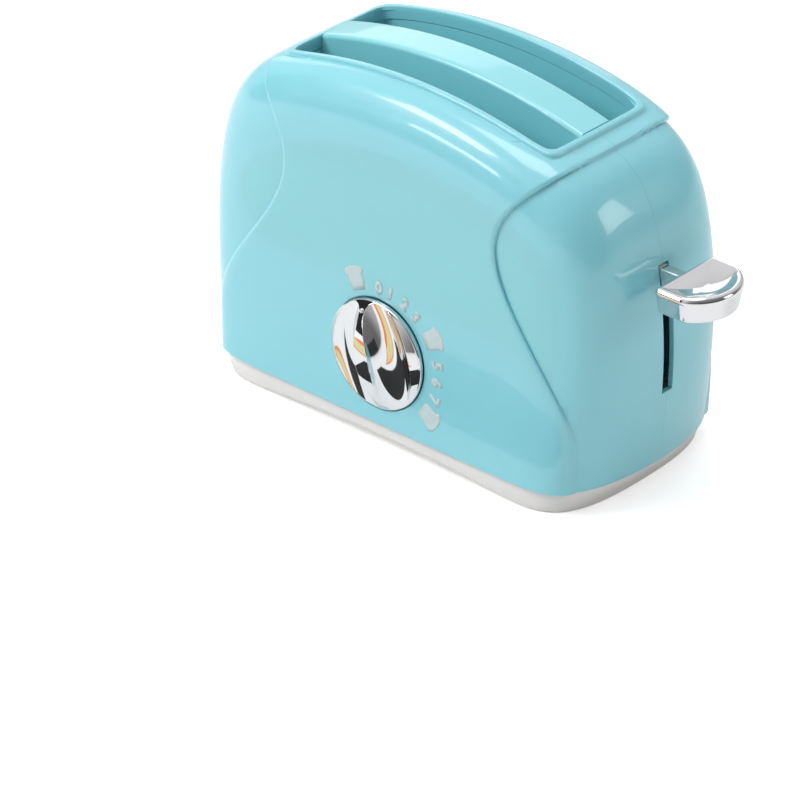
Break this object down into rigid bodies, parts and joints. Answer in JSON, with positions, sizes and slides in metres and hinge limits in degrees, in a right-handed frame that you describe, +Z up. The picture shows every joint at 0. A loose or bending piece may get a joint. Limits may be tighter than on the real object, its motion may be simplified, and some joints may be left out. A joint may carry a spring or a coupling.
{
  "type": "toy toaster",
  "caption": "Pretend-play pop-up toaster: rounded two-slot body on an arched base, a side lever on a sprung bread carriage, and a round wind-up dial on the front.",
  "frame": {"origin": "centre of the body's footprint, on the surface the base stands on", "axes": "+X along the length of the slots towards the lever, -Y out of the face with the dial, +Z up out of the slots"},
  "size_m": [0.213, 0.0985, 0.136],
  "materials": {
    "shell": "glossy moulded pale turquoise",
    "base": "smooth off-white moulding",
    "guides": "glossy moulding, a deeper turquoise",
    "natural": "unpainted moulding",
    "chrome": "bright plating",
    "steel": "plain drawn steel"
  },
  "bodies": {
    "case": {"front_shell": "shell", "back_shell": "shell", "base_plate": "base", "bread_well": "guides", "front_posts": "natural", "back_posts": "natural", "dial_cup": "shell", "guide_rod_left": "steel", "guide_rod_right": "steel", "lift_spring_left": "steel", "lift_spring_right": "steel", "timer_front_plate": "natural", "timer_back_plate": "natural", "latch_pin": "steel", "latch_spring": "steel", "case_screws": "steel", "base_screws": "steel", "timer_screws": "steel"},
    "carriage": {"bread_carriage": "natural", "lever_stem": "natural", "lever_knob": "chrome"},
    "dial": {"dial_knob": "chrome", "dial_shaft": "natural", "release_cam": "natural", "drive_gear": "natural", "mainspring": "steel"},
    "second": {"second_wheel": "natural"},
    "fly": {"governor_fly": "natural"},
    "latch": {"latch_hook": "natural"}
  },
  "joints": [
    {"name": "lever_slide", "type": "slide", "parent": "case", "child": "carriage", "axis": [0, 0, -1], "range_m": [0, 0.04], "stiffness_N_per_m": 60, "springref_m": -0.03, "deforming": ["lift_spring_left", "lift_spring_right"]},
    {"name": "dial_turn", "type": "hinge", "parent": "case", "child": "dial", "pos_m": [-0.0006, -0.0438, 0.0364], "axis": [0, 1, 0], "range_deg": [0, 142], "stiffness_Nm_per_rad": 0.01, "springref_deg": -28.65},
    {"name": "second_wheel_spin", "type": "hinge", "parent": "case", "child": "second", "pos_m": [0.0086, -0.034, 0.05233], "axis": [0, 1, 0], "range_deg": [-516, 5]},
    {"name": "governor_spin", "type": "hinge", "parent": "case", "child": "fly", "pos_m": [-0.00526, -0.034, 0.06033], "axis": [0, 1, 0], "range_deg": [-5, 2050]},
    {"name": "latch_pivot", "type": "hinge", "parent": "case", "child": "latch", "pos_m": [0.048, -0.038, 0.0554], "axis": [0, 1, 0], "range_deg": [-4, 8], "stiffness_Nm_per_rad": 0.02}
  ],
  "couplings": [
    {"joint": "second_wheel_spin", "follows": "dial_turn", "ratio": -3.6},
    {"joint": "governor_spin", "follows": "dial_turn", "ratio": 14.4}
  ]
}
